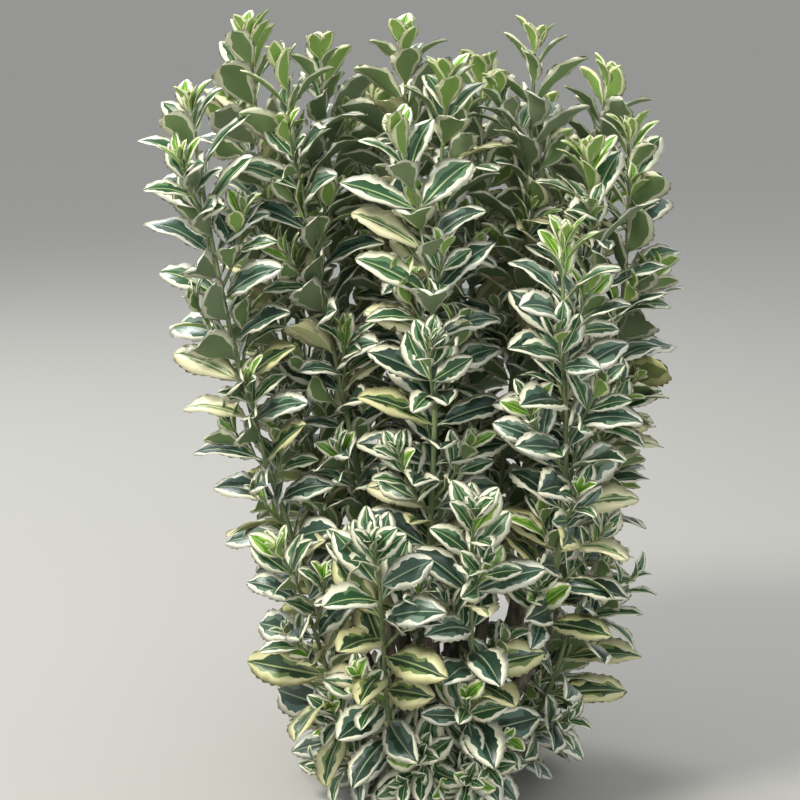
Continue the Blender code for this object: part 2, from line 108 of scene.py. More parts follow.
def makeStudio():
    bpy.context.scene.view_settings.view_transform = "Standard"
    world = bpy.data.worlds.new("studioLight")
    world.use_nodes = True
    sky = world.node_tree.nodes["Background"]
    sky.inputs["Color"].default_value = linear(*studioLook["skyColour"])
    sky.inputs["Strength"].default_value = studioLook["skyStrength"]
    bpy.context.scene.world = world
    for number, (place, size, power, colour) in enumerate(studioLook["lamps"]):
        data = bpy.data.lights.new(f"softLamp{number}", "AREA")
        data.shape = "DISK"
        data.size = size
        data.energy = power
        data.color = linear(*colour)[:3]
        lamp = bpy.data.objects.new(data.name, data)
        lamp.location = place
        aim = Vector(cameraLook["target"]) - Vector(place)
        lamp.rotation_euler = aim.to_track_quat("-Z", "Y").to_euler()
        bpy.context.scene.collection.objects.link(lamp)
    sheet = bmesh.new()
    radius = studioLook["floorRadius"]
    bmesh.ops.create_circle(sheet, cap_ends=True, segments=96, radius=radius)
    mesh = bpy.data.meshes.new("floor")
    sheet.to_mesh(mesh)
    sheet.free()
    floor = bpy.data.objects.new("floor", mesh)
    bpy.context.scene.collection.objects.link(floor)
    paint = bpy.data.materials.new("paleFloor")
    paint.use_nodes = True
    shader = paint.node_tree.nodes["Principled BSDF"]
    shader.inputs["Base Color"].default_value = linear(*studioLook["floorColour"])
    shader.inputs["Roughness"].default_value = 0.9
    floor.data.materials.append(paint)


# Finishes
leafSurface = {"roughnessSpread": 0.09, "patchScale": 160, "grainScale": 1400, "grainDepth": 0.00009}
# Each family of leaves: screen colours of its zones, then its shape.
# green is the share of the half width that the green centre covers, and its spread.
leafFamilies = {
    "young": {
        "centre": (92, 142, 40),
        "streak": (146, 182, 78),
        "margin": (236, 236, 202),
        "rib": (182, 206, 116),
        "under": (128, 160, 78),
        "underMargin": (226, 228, 180),
        "green": (0.54, 0.14),
        "shape": {"ratio": 0.52, "fold": 24, "bend": 30, "wave": 0.012},
    },
    "fresh": {
        "centre": (48, 84, 52),
        "streak": (98, 130, 92),
        "margin": (232, 231, 204),
        "rib": (170, 188, 128),
        "under": (118, 142, 90),
        "underMargin": (230, 230, 196),
        "green": (0.56, 0.15),
        "shape": {"ratio": 0.52, "fold": 20, "bend": 38, "wave": 0.018},
    },
    "deep": {
        "centre": (38, 60, 46),
        "streak": (76, 102, 88),
        "margin": (222, 221, 194),
        "rib": (134, 154, 122),
        "under": (106, 126, 88),
        "underMargin": (222, 222, 192),
        "green": (0.68, 0.12),
        "shape": {"ratio": 0.50, "fold": 17, "bend": 42, "wave": 0.022},
    },
    "sage": {
        "centre": (56, 82, 66),
        "streak": (112, 136, 116),
        "margin": (230, 229, 208),
        "rib": (150, 168, 138),
        "under": (124, 140, 104),
        "underMargin": (214, 215, 190),
        "green": (0.60, 0.14),
        "shape": {"ratio": 0.51, "fold": 16, "bend": 46, "wave": 0.024},
    },
    "creamy": {
        "centre": (92, 118, 78),
        "streak": (170, 182, 130),
        "margin": (224, 219, 176),
        "rib": (204, 206, 152),
        "under": (176, 182, 130),
        "underMargin": (220, 214, 166),
        "green": (0.24, 0.12),
        "shape": {"ratio": 0.50, "fold": 16, "bend": 40, "wave": 0.022},
    },
    # yellowed leaves low on the plant: a yellower tone of their own, with painted shade in their darker margins
    # and centre
    "yellowed": {
        "centre": (48, 72, 46),
        "streak": (112, 132, 74),
        "margin": (206, 203, 150),
        "rib": (150, 164, 108),
        "under": (126, 138, 84),
        "underMargin": (196, 194, 134),
        "green": (0.46, 0.16),
        "shape": {"ratio": 0.50, "fold": 17, "bend": 34, "wave": 0.020},
    },
    "lowest": {
        "centre": (62, 80, 66),
        "streak": (112, 128, 110),
        "margin": (206, 208, 190),
        "rib": (146, 160, 138),
        "under": (120, 132, 106),
        "underMargin": (196, 198, 176),
        "green": (0.60, 0.12),
        "shape": {"ratio": 0.47, "fold": 10, "bend": 26, "wave": 0.012},
    },
}
zoneNames = ("centre", "streak", "margin", "rib", "under", "underMargin")
zoneRoughness = {
    "centre": 0.30,
    "streak": 0.34,
    "margin": 0.38,
    "rib": 0.45,
    "under": 0.60,
    "underMargin": 0.58,
}


def newFinish(name):
    paint = bpy.data.materials.new(name)
    paint.use_nodes = True
    nodes = paint.node_tree.nodes
    return paint, nodes, paint.node_tree.links, nodes["Principled BSDF"]


def addNoise(nodes, links, scale, detail, stretch=1.0):
    # noise on the plant's own coordinates, which a stretch under 1 draws out along the height
    place = nodes.new("ShaderNodeTexCoord")
    turn = nodes.new("ShaderNodeMapping")
    turn.inputs["Scale"].default_value = (1, 1, stretch)
    noise = nodes.new("ShaderNodeTexNoise")
    noise.inputs["Scale"].default_value = scale
    noise.inputs["Detail"].default_value = detail
    links.new(place.outputs["Object"], turn.inputs["Vector"])
    links.new(turn.outputs["Vector"], noise.inputs["Vector"])
    return noise


def addSpread(nodes, links, source, low, high):
    spread = nodes.new("ShaderNodeMapRange")
    spread.inputs["From Min"].default_value = 0.3
    spread.inputs["From Max"].default_value = 0.7
    spread.inputs["To Min"].default_value = low
    spread.inputs["To Max"].default_value = high
    links.new(source, spread.inputs["Value"])
    return spread.outputs["Result"]


def addBump(nodes, links, source, depth, shader):
    bump = nodes.new("ShaderNodeBump")
    bump.inputs["Strength"].default_value = 1
    bump.inputs["Distance"].default_value = depth
    links.new(source, bump.inputs["Height"])
    links.new(bump.outputs["Normal"], shader.inputs["Normal"])


def leafFinish(family, zone):
    paint, nodes, links, shader = newFinish(f"leaf_{family}_{zone}")
    shader.inputs["Base Color"].default_value = linear(*leafFamilies[family][zone])
    middle = zoneRoughness[zone]
    spread = leafSurface["roughnessSpread"]
    patches = addNoise(nodes, links, leafSurface["patchScale"], 2)
    roughness = addSpread(nodes, links, patches.outputs["Fac"], middle - spread, middle + spread)
    links.new(roughness, shader.inputs["Roughness"])
    grain = addNoise(nodes, links, leafSurface["grainScale"], 1)
    addBump(nodes, links, grain.outputs["Fac"], leafSurface["grainDepth"], shader)
    return paint


barkLook = {
    "ridge": (126, 118, 102),
    "furrow": (62, 54, 44),
    "scale": 260,
    "stretch": 0.28,
    "depth": 0.0009,
}
greenStemLook = {
    "pale": (136, 148, 104),
    "dark": (84, 98, 60),
    "scale": 420,
    "stretch": 0.12,
    "depth": 0.0004,
}


def stemFinish(name, first, second, look, roughness):
    paint, nodes, links, shader = newFinish(name)
    noise = addNoise(nodes, links, look["scale"], 5, look["stretch"])
    mix = nodes.new("ShaderNodeMix")
    mix.data_type = "RGBA"
    mix.inputs["A"].default_value = linear(*second)
    mix.inputs["B"].default_value = linear(*first)
    links.new(addSpread(nodes, links, noise.outputs["Fac"], 0, 1), mix.inputs["Factor"])
    links.new(mix.outputs["Result"], shader.inputs["Base Color"])
    spread = addSpread(nodes, links, noise.outputs["Fac"], roughness + 0.1, roughness - 0.1)
    links.new(spread, shader.inputs["Roughness"])
    addBump(nodes, links, noise.outputs["Fac"], look["depth"], shader)
    return paint


# One leaf, a unit long from its blade's foot: rows from the petiole to the tip
leafRows = (-0.08, 0.015, 0.09, 0.19, 0.30, 0.41, 0.52, 0.63, 0.73, 0.83, 0.92, 1.0)
freshLeafRows = (-0.08, 0.015, 0.11, 0.24, 0.37, 0.50, 0.63, 0.76, 0.89, 1.0)
youngLeafRows = (-0.08, 0.015, 0.14, 0.30, 0.46, 0.62, 0.77, 0.90, 1.0)
leafForm = {
    "petioleHalfWidth": 0.020,
    "thickness": 0.014,
    "petioleThickness": 0.030,
    "ribHalfWidth": 0.013,
    "ribGroove": 0.006,
    "ribKeel": 0.016,
    "tooth": 0.105,  # how far a tooth stands out, as a share of the half width
    "cup": 0.35,
    "broadest": 1.12,  # over 1 moves the broadest place towards the tip
    "fullness": 0.66,
}


def halfWidth(along, ratio):
    if along <= 0.02:
        return leafForm["petioleHalfWidth"]
    rise = max(0, (along - 0.02) / 0.98)
    full = max(0, math.sin(math.pi * min(1, rise ** leafForm["broadest"]))) ** leafForm["fullness"]
    return max(leafForm["petioleHalfWidth"] * (1 - rise), full * ratio / 2)


def spineAt(along, bend):
    # the midrib bends back by this many degrees over the blade, and most of it near the tip
    total = math.radians(bend)
    if along <= 0:
        return Vector((0, along, 0)), Vector((0, 0, 1))
    place = Vector()
    steps = 12
    for step in range(steps):
        angle = total * (along * (step + 0.5) / steps) ** 1.6
        place += Vector((0, math.cos(angle), -math.sin(angle))) * along / steps
    angle = total * along**1.6
    return place, Vector((0, math.sin(angle), math.cos(angle)))


def leafMesh(name, family, chance):
    look = leafFamilies[family]
    shape = look["shape"]
    green, greenSpread = look["green"]
    wavePhase = chance.uniform(0, 6.28)
    foldSlope = math.tan(math.radians(shape["fold"] * chance.uniform(0.75, 1.25)))
    bend = shape["bend"] * chance.uniform(0.7, 1.35)
    ratio = shape["ratio"] * chance.uniform(0.92, 1.08)
    sway = chance.uniform(-0.05, 0.05)
    blade = bmesh.new()
    zone = blade.faces.layers.int.new("zone")

    def point(along, across, lift=0.0):
        spine, normal = spineAt(along, bend)
        half = halfWidth(along, ratio)
        reach = across * half
        rise = abs(reach) * foldSlope * (1 - leafForm["cup"] * abs(across))
        ripple = shape["wave"] * math.sin(14 * along + wavePhase + 2 * across) * across**2
        if along <= 0.02:
            rise = ripple = 0
        side = Vector((reach + sway * max(0, along) ** 2, 0, 0))
        return blade.verts.new(spine + side + normal * (rise + ripple + lift))

    def paintFace(corners, number):
        face = blade.faces.new(corners)
        face[zone] = number
        face.smooth = True

    centre, streak, margin, rib, under, underMargin = range(6)
    rows = []
    places = {"young": youngLeafRows, "fresh": freshLeafRows}.get(family, leafRows)
    for along in places:
        half = max(1e-4, halfWidth(along, ratio))
        stalk = along <= 0.02
        thick = leafForm["petioleThickness"] if stalk else leafForm["thickness"]
        fade = max(0, 1 - max(0, along) ** 3)
        ribShare = min(0.5, leafForm["ribHalfWidth"] * fade / half)
        row = {
            "ribTop": point(along, 0, thick / 2 - leafForm["ribGroove"] * fade * (not stalk)),
            "ribUnder": point(along, 0, -thick / 2 - leafForm["ribKeel"] * fade * (not stalk)),
        }
        taper = 1 - 0.75 * max(0, (along - 0.72) / 0.28)
        for side in (-1, 1):
            share = min(0.90, max(0.16, green + chance.uniform(-1, 1) * greenSpread)) * taper
            share = max(share, ribShare + 0.06)
            middle = ribShare + (share - ribShare) * chance.uniform(0.35, 0.65)
            row[side] = {
                "ribEdge": point(along, side * ribShare, thick / 2),
                "middle": point(along, side * middle, thick / 2),
                "border": point(along, side * share, thick * 0.4),
                "edge": point(along, side * (1 - leafForm["tooth"] / 2)),
                "borderUnder": point(along, side * min(0.9, share + 0.05), -thick * 0.4),
                "share": share,
            }
        rows.append(row)
    # a paler run of the centre, beside the margin, on each half of the blade
    starts = {side: chance.randint(1, len(rows) // 2) for side in (-1, 1)}
    streakRuns = {side: (start, start + chance.randint(1, 5)) for side, start in starts.items()}
    for number, (near, far) in enumerate(zip(rows, rows[1:])):
        half = (places[number] + places[number + 1]) / 2
        stalk = number == 0
        for side in (-1, 1):
            a, b = near[side], far[side]
            shareHalf = (a["share"] + b["share"]) / 2 + chance.uniform(-1, 1) * greenSpread * 0.8
            shareHalf = min(0.9, max(0.14, shareHalf))
            borderHalf = point(half, side * shareHalf, leafForm["thickness"] * 0.4)
            outer = 1 if stalk else 1 + leafForm["tooth"] / 2
            tooth = point(half + (0 if stalk else 0.022), side * outer)
            first, last = streakRuns[side]
            outerZone = streak if first <= number <= last else centre
            strips = (
                (rib, near["ribTop"], a["ribEdge"], b["ribEdge"], far["ribTop"]),
                (centre, a["ribEdge"], a["middle"], b["middle"], b["ribEdge"]),
                (outerZone, a["middle"], a["border"], borderHalf, b["border"], b["middle"]),
                (margin, a["border"], a["edge"], tooth, b["edge"], b["border"], borderHalf),
                (under, near["ribUnder"], far["ribUnder"], b["borderUnder"], a["borderUnder"]),
                (underMargin, a["borderUnder"], b["borderUnder"], b["edge"], tooth, a["edge"]),
            )
            for colour, *corners in strips:
                paintFace(corners, rib if stalk else colour)
    foot = rows[0]
    ring = [foot["ribTop"]] + [foot[1][key] for key in ("ribEdge", "middle", "border", "edge", "borderUnder")]
    ring += [foot["ribUnder"]]
    ring += [foot[-1][key] for key in ("borderUnder", "edge", "border", "middle", "ribEdge")]
    paintFace(ring, rib)
    # all points of the last row meet in the tip
    lastRow = [rows[-1]["ribTop"], rows[-1]["ribUnder"]]
    for side in (-1, 1):
        lastRow += [rows[-1][side][key] for key in ("ribEdge", "middle", "border", "edge", "borderUnder")]
    bmesh.ops.pointmerge(blade, verts=lastRow, merge_co=rows[-1]["ribTop"].co.copy())
    bmesh.ops.recalc_face_normals(blade, faces=blade.faces)
    mesh = bpy.data.meshes.new(name)
    blade.to_mesh(mesh)
    blade.free()
    return mesh


variantsPerFamily = 7
leavesPerPiece = 540


def leafCollection(family):
    chance = random.Random(f"{family}{seed}")
    collection = bpy.data.collections.new(f"leafShapes_{family}")
    for number in range(variantsPerFamily):
        mesh = leafMesh(f"leaf_{family}_{number}", family, chance)
        collection.objects.link(bpy.data.objects.new(mesh.name, mesh))
    return collection


# Node trees
def newTree(name, sockets):
    tree = bpy.data.node_groups.new(name, "GeometryNodeTree")
    tree.interface.new_socket("Geometry", in_out="INPUT", socket_type="NodeSocketGeometry")
    for label, kind, value in sockets:
        socket = tree.interface.new_socket(label, in_out="INPUT", socket_type=kind)
        if value is not None:
            socket.default_value = value
    tree.interface.new_socket("Geometry", in_out="OUTPUT", socket_type="NodeSocketGeometry")
    return tree, tree.nodes.new("NodeGroupInput"), tree.nodes.new("NodeGroupOutput")


def namedAttribute(tree, label, kind):
    node = tree.nodes.new("GeometryNodeInputNamedAttribute")
    node.data_type = kind
    node.inputs["Name"].default_value = label
    return node.outputs["Attribute"]


def sprayTree():
    # a leaf on each seat, picked by number, then one finish for each zone of the blade
    sockets = [("Leaf Shapes", "NodeSocketCollection", None)]
    sockets += [(f"Finish {zone}", "NodeSocketMaterial", None) for zone in zoneNames]
    tree, start, end = newTree("leafSpray", sockets)
    shapes = tree.nodes.new("GeometryNodeCollectionInfo")
    shapes.inputs["Separate Children"].default_value = True
    shapes.inputs["Reset Children"].default_value = True
    tree.links.new(start.outputs["Leaf Shapes"], shapes.inputs["Collection"])
    turn = tree.nodes.new("FunctionNodeEulerToRotation")
    tree.links.new(namedAttribute(tree, "turn", "FLOAT_VECTOR"), turn.inputs["Euler"])
    place = tree.nodes.new("GeometryNodeInstanceOnPoints")
    place.inputs["Pick Instance"].default_value = True
    tree.links.new(start.outputs["Geometry"], place.inputs["Points"])
    tree.links.new(shapes.outputs["Instances"], place.inputs["Instance"])
    tree.links.new(namedAttribute(tree, "shape", "INT"), place.inputs["Instance Index"])
    tree.links.new(turn.outputs["Rotation"], place.inputs["Rotation"])
    tree.links.new(namedAttribute(tree, "size", "FLOAT"), place.inputs["Scale"])
    real = tree.nodes.new("GeometryNodeRealizeInstances")
    tree.links.new(place.outputs["Instances"], real.inputs["Geometry"])
    flow = real.outputs["Geometry"]
    for number, zone in enumerate(zoneNames):
        same = tree.nodes.new("FunctionNodeCompare")
        same.data_type = "INT"
        same.operation = "EQUAL"
        same.inputs[3].default_value = number
        tree.links.new(namedAttribute(tree, "zone", "INT"), same.inputs[2])
        paint = tree.nodes.new("GeometryNodeSetMaterial")
        tree.links.new(flow, paint.inputs["Geometry"])
        tree.links.new(same.outputs["Result"], paint.inputs["Selection"])
        tree.links.new(start.outputs[f"Finish {zone}"], paint.inputs["Material"])
        flow = paint.outputs["Geometry"]
    tree.links.new(flow, end.inputs["Geometry"])
    return tree


def limbTree():
    # a round limb along a path, with ridges that run along it
    tree, start, end = newTree(
        "ridgedLimb",
        [
            ("Step", "NodeSocketFloat", 0.004),
            ("Sides", "NodeSocketInt", 12),
            ("Ridge Height", "NodeSocketFloat", 0.0005),
            ("Ridge Scale", "NodeSocketFloat", 260.0),
            ("Ridge Stretch", "NodeSocketFloat", 0.25),
            ("Finish", "NodeSocketMaterial", None),
        ],
    )
    nodes, links = tree.nodes, tree.links
    even = nodes.new("GeometryNodeResampleCurve")
    even.mode = "LENGTH"
    links.new(start.outputs["Geometry"], even.inputs["Curve"])
    links.new(start.outputs["Step"], even.inputs["Length"])
    outline = nodes.new("GeometryNodeCurvePrimitiveCircle")
    outline.inputs["Radius"].default_value = 1
    links.new(start.outputs["Sides"], outline.inputs["Resolution"])
    body = nodes.new("GeometryNodeCurveToMesh")
    body.inputs["Fill Caps"].default_value = True
    links.new(even.outputs["Curve"], body.inputs["Curve"])
    links.new(nodes.new("GeometryNodeInputRadius").outputs["Radius"], body.inputs["Scale"])
    links.new(outline.outputs["Curve"], body.inputs["Profile Curve"])
    weld = nodes.new("GeometryNodeMergeByDistance")
    weld.inputs["Distance"].default_value = 1e-6
    links.new(body.outputs["Mesh"], weld.inputs["Geometry"])
    place = nodes.new("GeometryNodeInputPosition")
    stretch = nodes.new("ShaderNodeCombineXYZ")
    stretch.inputs["X"].default_value = 1
    stretch.inputs["Y"].default_value = 1
    links.new(start.outputs["Ridge Stretch"], stretch.inputs["Z"])
    drawn = nodes.new("ShaderNodeVectorMath")
    drawn.operation = "MULTIPLY"
    links.new(place.outputs["Position"], drawn.inputs[0])
    links.new(stretch.outputs["Vector"], drawn.inputs[1])
    noise = nodes.new("ShaderNodeTexNoise")
    noise.inputs["Detail"].default_value = 3
    links.new(drawn.outputs["Vector"], noise.inputs["Vector"])
    links.new(start.outputs["Ridge Scale"], noise.inputs["Scale"])
    centred = nodes.new("ShaderNodeMath")
    centred.operation = "SUBTRACT"
    centred.inputs[1].default_value = 0.5
    links.new(noise.outputs["Fac"], centred.inputs[0])
    height = nodes.new("ShaderNodeMath")
    height.operation = "MULTIPLY"
    links.new(centred.outputs["Value"], height.inputs[0])
    links.new(start.outputs["Ridge Height"], height.inputs[1])
    outward = nodes.new("GeometryNodeInputNormal")
    push = nodes.new("ShaderNodeVectorMath")
    push.operation = "SCALE"
    links.new(outward.outputs["Normal"], push.inputs[0])
    links.new(height.outputs["Value"], push.inputs["Scale"])
    shift = nodes.new("GeometryNodeSetPosition")
    links.new(weld.outputs["Geometry"], shift.inputs["Geometry"])
    links.new(push.outputs["Vector"], shift.inputs["Offset"])
    real = nodes.new("GeometryNodeRealizeInstances")
    links.new(shift.outputs["Geometry"], real.inputs["Geometry"])
    smooth = nodes.new("GeometryNodeSetShadeSmooth")
    links.new(real.outputs["Geometry"], smooth.inputs["Geometry"])
    paint = nodes.new("GeometryNodeSetMaterial")
    links.new(smooth.outputs["Geometry"], paint.inputs["Geometry"])
    links.new(start.outputs["Finish"], paint.inputs["Material"])
    links.new(paint.outputs["Geometry"], end.inputs["Geometry"])
    return tree


def grown(obj, tree, values):
    # runs a node tree on an object and returns the result as a plain mesh object
    modifier = obj.modifiers.new("grow", "NODES")
    modifier.node_group = tree
    for item in tree.interface.items_tree:
        if item.in_out == "INPUT" and item.name in values:
            modifier[item.identifier] = values[item.name]
    bpy.context.view_layer.update()
    graph = bpy.context.evaluated_depsgraph_get()
    mesh = bpy.data.meshes.new_from_object(obj.evaluated_get(graph))
    name = obj.name
    bpy.data.objects.remove(obj)
    mesh.name = name
    piece = bpy.data.objects.new(name, mesh)
    bpy.context.scene.collection.objects.link(piece)
    return piece


# The plant's own plan, as in its solids
clearance = 0.0003
crownForm = {"height": 0.036, "radius": 0.026, "flareRadius": 0.037, "lobes": 5, "lobeDepth": 0.07}
limbForm = {
    "boughBase": 0.0050,
    "forkTip": 0.0058,
    "singleTip": 0.0038,
    "forkHalfSpacing": 0.0028,
    "stub": 0.010,
    "stemBase": 0.0023,
    "shootBase": 0.0020,
    "stemTip": 0.0011,
    "twigBase": 0.0012,
    "twigTip": 0.0007,
}
# bough: ring radius on the crown, turn, tip, then its spires with tip and lean
boughs = {
    "bough_centre": (
        (0.001, 90, (-0.006, 0.014, 0.140)),
        {
            "spire_centre": ((-0.020, 0.040, 0.470), (-0.02, 0.02)),
            "spire_centre_right": ((0.005, 0.000, 0.448), (0.04, -0.02)),
        },
    ),
    "bough_front": (
        (0.014, -110, (-0.005, -0.044, 0.112)),
        {"spire_front": ((-0.022, -0.060, 0.420), (-0.30, 0.0))},
    ),
    "bough_left_front": (
        (0.014, 200, (-0.037, -0.010, 0.140)),
        {"spire_left_front": ((-0.093, 0.000, 0.456), (-0.12, 0.02))},
    ),
    "bough_left": (
        (0.025, 192, (-0.076, -0.018, 0.124)),
        {"spire_left": ((-0.149, -0.020, 0.434), (-0.12, 0.0))},
    ),
    "bough_left_back": (
        (0.025, 146, (-0.062, 0.040, 0.118)),
        {
            "spire_left_back": ((-0.118, 0.058, 0.472), (-0.06, 0.0)),
            "spire_back_far_left": ((-0.100, 0.112, 0.395), (-0.08, 0.08)),
        },
    ),
    "bough_back_left": (
        (0.017, 118, (-0.030, 0.056, 0.130)),
        {
            "spire_back_left": ((-0.074, 0.084, 0.460), (-0.06, 0.04)),
            "spire_back_low_left": ((-0.038, 0.128, 0.425), (-0.02, 0.10)),
        },
    ),
    "bough_back": (
        (0.024, 76, (0.014, 0.062, 0.122)),
        {
            "spire_back_right": ((0.030, 0.078, 0.448), (0.02, 0.0)),
            "spire_back_low_right": ((0.016, 0.134, 0.412), (0.0, 0.10)),
        },
    ),
    "bough_right_back": (
        (0.025, 40, (0.058, 0.048, 0.116)),
        {
            "spire_right_back": ((0.110, 0.070, 0.442), (0.12, 0.04)),
            "spire_back_far_right": ((0.070, 0.120, 0.418), (0.02, 0.08)),
        },
    ),
    "bough_right_centre": (
        (0.013, 15, (0.035, 0.012, 0.138)),
        {"spire_right_centre": ((0.061, 0.030, 0.468), (0.02, 0.0))},
    ),
    "bough_right": (
        (0.026, 2, (0.074, 0.006, 0.112)),
        {
            "spire_right": ((0.121, 0.030, 0.412), (-0.04, 0.0)),
            "spire_right_low": ((0.092, -0.014, 0.402), (-0.12, 0.0)),
        },
    ),
    "bough_right_front": (
        (0.025, -42, (0.061, -0.050, 0.106)),
        {"spire_right_front": ((0.072, -0.090, 0.360), (0.0, 0.02))},
    ),
}
lowShoots = {
    "shoot_front_left": (222, (-0.093, -0.080, 0.172)),
    "shoot_front_centre": (247, (-0.038, -0.126, 0.190)),
    "shoot_front_right": (287, (0.020, -0.118, 0.206)),
    "shoot_side_right": (-22, (0.100, -0.044, 0.155)),
    "shoot_ground_left": (205, (-0.058, -0.040, 0.050)),
    "shoot_ground_front": (266, (-0.010, -0.082, 0.048)),
    "shoot_ground_right": (309, (0.024, -0.068, 0.044)),
    "shoot_side_low_right": (18, (0.080, 0.018, 0.076)),
    "shoot_back_left": (128, (-0.080, 0.096, 0.150)),
    "shoot_back_centre": (96, (-0.008, 0.130, 0.165)),
    "shoot_back_right": (52, (0.078, 0.100, 0.150)),
    "shoot_ground_back_left": (163, (-0.058, 0.030, 0.050)),
    "shoot_ground_back": (78, (0.022, 0.084, 0.046)),
}
up = Vector((0, 0, 1))


def ringPoint(radius, turn, height):
    angle = math.radians(turn)
    return Vector((radius * math.cos(angle), radius * math.sin(angle), height))


def curvePoints(start, startWay, end, endWay, count):
    reach = 0.38 * (end - start).length
    return interpolate_bezier(start, start + startWay * reach, end - endWay * reach, end, count)


def boughStart(plan):
    ring, turn, tip = plan
    outward = ring / crownForm["radius"]
    foot = ringPoint(ring, turn, crownForm["height"] * (0.96 - 0.34 * outward**2))
    way = (up + 0.75 * outward * Vector((tip[0], tip[1], 0)).normalized()).normalized()
    return foot, way


def boughPath(plan, spires):
    foot, way = boughStart(plan)
    start = foot + way * (limbForm["stub"] + clearance)
    tip = Vector(plan[2])
    goal = sum((Vector(spire[0]) for spire in spires.values()), Vector()) / len(spires)
    endWay = ((goal - tip).normalized() + 0.5 * (tip - start).normalized()).normalized()
    return curvePoints(start, way, tip, endWay, 6)


def spirePath(spires, limb, name):
    way = (limb[-1] - limb[-2]).normalized()
    tip, lean = spires[name]
    tip = Vector(tip)
    start = limb[-1] + way * clearance
    if len(spires) > 1:
        other = next(Vector(spire[0]) for twin, spire in spires.items() if twin != name)
        side = tip - other
        start = start + (side - way * side.dot(way)).normalized() * limbForm["forkHalfSpacing"]
    endWay = Vector((*lean, 1)).normalized()
    return [start] + curvePoints(start + way * 0.004, way, tip, endWay, 24)


def shootStart(turn):
    foot = ringPoint(crownForm["radius"] * 0.9, turn, crownForm["height"] * 0.34)
    return foot, (ringPoint(1, turn, 0) + up * 0.55).normalized()


def shootPath(turn, tip):
    foot, way = shootStart(turn)
    tip = Vector(tip)
    start = foot + way * (limbForm["stub"] + clearance)
    run = Vector((tip.x - start.x, tip.y - start.y, 0))
    endWay = (run * 1.2 / max(tip.z, run.length) + up).normalized()
    return [start] + curvePoints(start + way * 0.003, way, tip, endWay, 14)


def sideOf(way, turn):
    side = way.cross(Vector((0, 1, 0))).normalized()
    return Matrix.Rotation(turn, 3, way) @ side


def pointAlong(points, distance):
    for near, far in zip(points, points[1:]):
        length = (far - near).length
        if distance <= length:
            return near.lerp(far, distance / length), (far - near).normalized()
        distance -= length
    return points[-1].copy(), (points[-1] - points[-2]).normalized()


def pathLength(points):
    return sum((far - near).length for near, far in zip(points, points[1:]))


def spotTree(paths, step=0.003):
    # a search tree of places along these paths, and whose path each place is on
    owners = []
    spots = []
    for owner, points in paths.items():
        for near, far in zip(points, points[1:]):
            count = max(2, int((far - near).length / step))
            spots += [near.lerp(far, number / count) for number in range(count)]
            owners += [owner] * count
    tree = KDTree(len(spots))
    for number, spot in enumerate(spots):
        tree.insert(spot, number)
    tree.balance()
    return tree, owners


# Leaves: how they sit, how big they are and which family they belong to
leafSeat = {
    "length": 0.0465,
    "pairSpacing": 0.0132,
    "topSpacing": 0.0070,
    "foot": 0.006,
    "youngLength": 0.045,
    "limbGap": 0.0060,
    "softEdge": 0.0100,  # how far a leaf may lean into its neighbour's space
    "lowest": 0.0035,
    "turnToLight": math.radians(54),
    "lightReach": 0.075,  # from the plant's axis to where leaves turn the full amount
    "tries": ((0, 0, 1), (0.4, 0, 1), (-0.4, 0, 1), (0, 0.25, 0.92), (0.75, 0.1, 0.9), (-0.75, 0.1, 0.9)),
}
leafProbes = tuple(Vector(probe) for probe in ((0, 0.5, -0.06), (0, 0.97, -0.24), (0.18, 0.6, 0), (-0.18, 0.6, 0)))


class Planting:
    def __init__(self, axes, limbs):
        self.axes, self.owners = spotTree(axes)
        self.limbs, _ = spotTree(limbs)
        self.low = cadLow - Vector((0.004, 0.004, 0.004))
        self.high = cadHigh + Vector((0.004, 0.004, 0.003))
        self.seats = {family: [] for family in leafFamilies}
        self.stems = []

    def ownSpace(self, owner, spot, softness):
        own = self.axes.find(spot, filter=lambda number: self.owners[number] == owner)[2]
        other = self.axes.find(spot, filter=lambda number: self.owners[number] != owner)[2]
        return own < other + softness

    def accepts(self, owner, place):
        for probe in leafProbes:
            spot = place @ probe
            if spot.z < leafSeat["lowest"]:
                return False
            if any(spot[axis] < self.low[axis] or spot[axis] > self.high[axis] for axis in range(3)):
                return False
            if self.limbs.find(spot)[2] < leafSeat["limbGap"]:
                return False
            if not self.ownSpace(owner, spot, leafSeat["softEdge"]):
                return False
        return True


def chooseFamily(fromTip, foot, chance, tone):
    # young at the tips, deep and sage up the stems, yellowed leaves with painted shade low at the front, grey at
    # the ground
    draw = chance.random()
    limeShare = 0.9 if foot.z > 0.32 else 0.35
    if fromTip < 0.009:
        return "young" if draw < limeShare else "fresh"
    if fromTip < 0.022:
        return "young" if draw < 0.4 * limeShare else "fresh"
    if fromTip < 0.042:
        return "fresh" if draw < 0.75 else "sage"
    if foot.z < 0.055:
        return "lowest" if draw < 0.8 else "sage"
    if foot.z < 0.19:
        shares = (("yellowed", 0.34 + tone), ("deep", 0.72 + tone), ("sage", 0.9), ("creamy", 1))
    elif foot.z < 0.30:
        shares = (("deep", 0.50 + tone), ("sage", 0.80), ("yellowed", 0.90), ("creamy", 1))
    else:
        shares = (("deep", 0.30 + tone), ("sage", 0.72), ("fresh", 0.90), ("creamy", 1))
    return next(family for family, limit in shares if draw < limit)


def leafAngle(fromTip, total, low):
    age = min(1, fromTip / total)
    opened = min(1, fromTip / leafSeat["youngLength"])
    return math.radians(25 + 20 * opened + (40 if low else 22) * age)


def leafSize(fromTip, total):
    opened = min(1, fromTip / leafSeat["youngLength"])
    return (0.52 + 0.48 * opened) * (1 - 0.16 * max(0, fromTip / total - 0.6) / 0.4)


